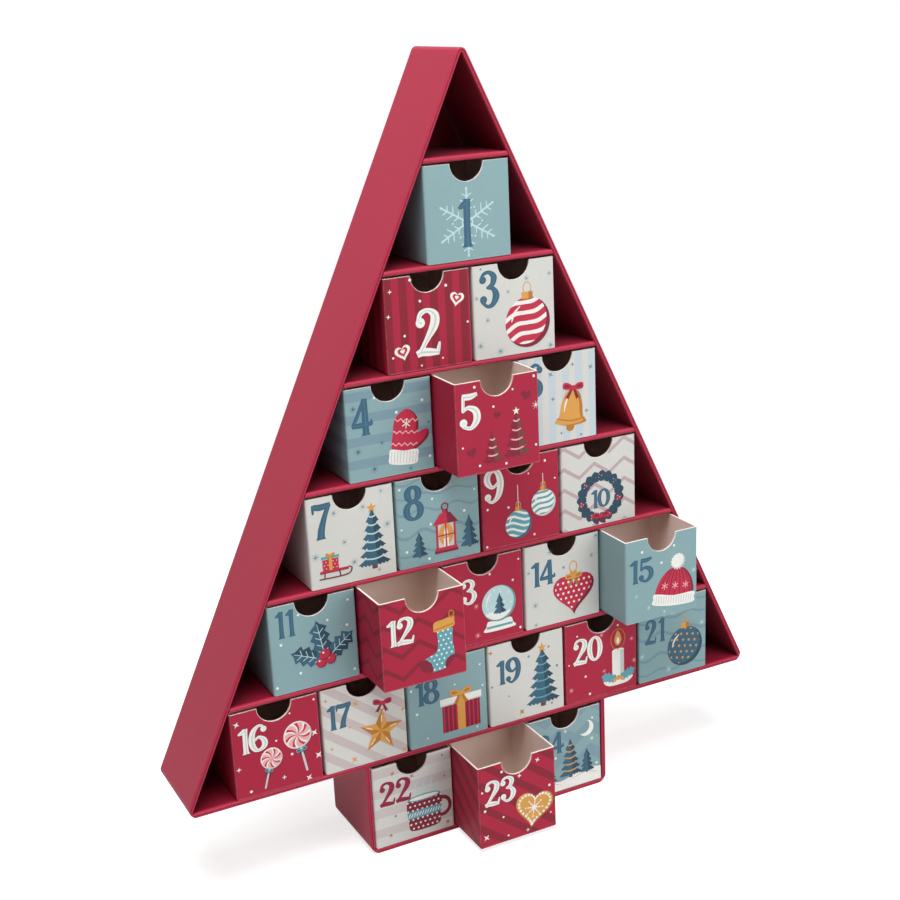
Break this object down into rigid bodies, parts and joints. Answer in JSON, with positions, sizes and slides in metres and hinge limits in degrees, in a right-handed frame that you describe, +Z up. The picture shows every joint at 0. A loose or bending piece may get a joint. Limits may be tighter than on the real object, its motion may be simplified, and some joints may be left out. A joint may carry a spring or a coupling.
{
  "type": "advent calendar",
  "caption": "Free-standing advent calendar shaped like a fir tree: a red board frame whose shelves hold numbered card drawers with finger notches, some of them pulled out.",
  "frame": {"origin": "centre of the trunk floor's underside, on which the calendar stands", "axes": "+Z up, -Y towards the drawers' fronts, +X to the right as seen from the front"},
  "size_m": [0.375, 0.0869, 0.4568],
  "materials": {
    "red_board": "grey board wrapped in matt crimson paper",
    "teal_card": "matt printed card, teal ground, taupe inside",
    "red_card": "matt printed card, red ground, taupe inside",
    "white_card": "matt printed card, white ground, taupe inside",
    "printed_ink": "matt printing ink"
  },
  "bodies": {
    "frame": {"left_slope_board": "red_board", "right_slope_board": "red_board", "tree_floor_board": "red_board", "tree_back_panel": "red_board", "top_shelf": "red_board", "shelf_1": "red_board", "shelf_2": "red_board", "shelf_3": "red_board", "shelf_4": "red_board", "shelf_5": "red_board", "trunk_left_side": "red_board", "trunk_right_side": "red_board", "trunk_floor": "red_board", "trunk_back_panel": "red_board"},
    "drawer_01": {"drawer_01": "teal_card"},
    "drawer_02": {"drawer_02": "red_card"},
    "drawer_03": {"drawer_03": "white_card"},
    "drawer_04": {"drawer_04": "teal_card"},
    "drawer_05": {"drawer_05": "red_card"},
    "drawer_06": {"drawer_06": "white_card"},
    "drawer_07": {"drawer_07": "white_card"},
    "drawer_08": {"drawer_08": "teal_card"},
    "drawer_09": {"drawer_09": "red_card"},
    "drawer_10": {"drawer_10": "white_card"},
    "drawer_11": {"drawer_11": "teal_card"},
    "drawer_12": {"drawer_12": "red_card"},
    "drawer_13": {"drawer_13": "red_card"},
    "drawer_14": {"drawer_14": "white_card"},
    "drawer_15": {"drawer_15": "teal_card"},
    "drawer_16": {"drawer_16": "red_card"},
    "drawer_17": {"drawer_17": "white_card"},
    "drawer_18": {"drawer_18": "teal_card"},
    "drawer_19": {"drawer_19": "white_card"},
    "drawer_20": {"drawer_20": "red_card"},
    "drawer_21": {"drawer_21": "teal_card"},
    "drawer_22": {"drawer_22": "white_card"},
    "drawer_23": {"drawer_23": "red_card"},
    "drawer_24": {"drawer_24": "teal_card"}
  },
  "joints": [
    {"name": "drawer_01_slide", "type": "slide", "parent": "frame", "child": "drawer_01", "axis": [0, -1, 0], "range_m": [0, 0.052]},
    {"name": "drawer_02_slide", "type": "slide", "parent": "frame", "child": "drawer_02", "axis": [0, -1, 0], "range_m": [0, 0.052]},
    {"name": "drawer_03_slide", "type": "slide", "parent": "frame", "child": "drawer_03", "axis": [0, -1, 0], "range_m": [0, 0.052]},
    {"name": "drawer_04_slide", "type": "slide", "parent": "frame", "child": "drawer_04", "axis": [0, -1, 0], "range_m": [0, 0.052]},
    {"name": "drawer_05_slide", "type": "slide", "parent": "frame", "child": "drawer_05", "axis": [0, -1, 0], "range_m": [-0.0252, 0.0268]},
    {"name": "drawer_06_slide", "type": "slide", "parent": "frame", "child": "drawer_06", "axis": [0, -1, 0], "range_m": [0, 0.052]},
    {"name": "drawer_07_slide", "type": "slide", "parent": "frame", "child": "drawer_07", "axis": [0, -1, 0], "range_m": [0, 0.052]},
    {"name": "drawer_08_slide", "type": "slide", "parent": "frame", "child": "drawer_08", "axis": [0, -1, 0], "range_m": [0, 0.052]},
    {"name": "drawer_09_slide", "type": "slide", "parent": "frame", "child": "drawer_09", "axis": [0, -1, 0], "range_m": [0, 0.052]},
    {"name": "drawer_10_slide", "type": "slide", "parent": "frame", "child": "drawer_10", "axis": [0, -1, 0], "range_m": [0, 0.052]},
    {"name": "drawer_11_slide", "type": "slide", "parent": "frame", "child": "drawer_11", "axis": [0, -1, 0], "range_m": [0, 0.052]},
    {"name": "drawer_12_slide", "type": "slide", "parent": "frame", "child": "drawer_12", "axis": [0, -1, 0], "range_m": [-0.0288, 0.0232]},
    {"name": "drawer_13_slide", "type": "slide", "parent": "frame", "child": "drawer_13", "axis": [0, -1, 0], "range_m": [0, 0.052]},
    {"name": "drawer_14_slide", "type": "slide", "parent": "frame", "child": "drawer_14", "axis": [0, -1, 0], "range_m": [0, 0.052]},
    {"name": "drawer_15_slide", "type": "slide", "parent": "frame", "child": "drawer_15", "axis": [0, -1, 0], "range_m": [-0.0263, 0.0257]},
    {"name": "drawer_16_slide", "type": "slide", "parent": "frame", "child": "drawer_16", "axis": [0, -1, 0], "range_m": [0, 0.052]},
    {"name": "drawer_17_slide", "type": "slide", "parent": "frame", "child": "drawer_17", "axis": [0, -1, 0], "range_m": [0, 0.052]},
    {"name": "drawer_18_slide", "type": "slide", "parent": "frame", "child": "drawer_18", "axis": [0, -1, 0], "range_m": [0, 0.052]},
    {"name": "drawer_19_slide", "type": "slide", "parent": "frame", "child": "drawer_19", "axis": [0, -1, 0], "range_m": [0, 0.052]},
    {"name": "drawer_20_slide", "type": "slide", "parent": "frame", "child": "drawer_20", "axis": [0, -1, 0], "range_m": [0, 0.052]},
    {"name": "drawer_21_slide", "type": "slide", "parent": "frame", "child": "drawer_21", "axis": [0, -1, 0], "range_m": [0, 0.052]},
    {"name": "drawer_22_slide", "type": "slide", "parent": "frame", "child": "drawer_22", "axis": [0, -1, 0], "range_m": [0, 0.052]},
    {"name": "drawer_23_slide", "type": "slide", "parent": "frame", "child": "drawer_23", "axis": [0, -1, 0], "range_m": [-0.0322, 0.0198]},
    {"name": "drawer_24_slide", "type": "slide", "parent": "frame", "child": "drawer_24", "axis": [0, -1, 0], "range_m": [0, 0.052]}
  ]
}
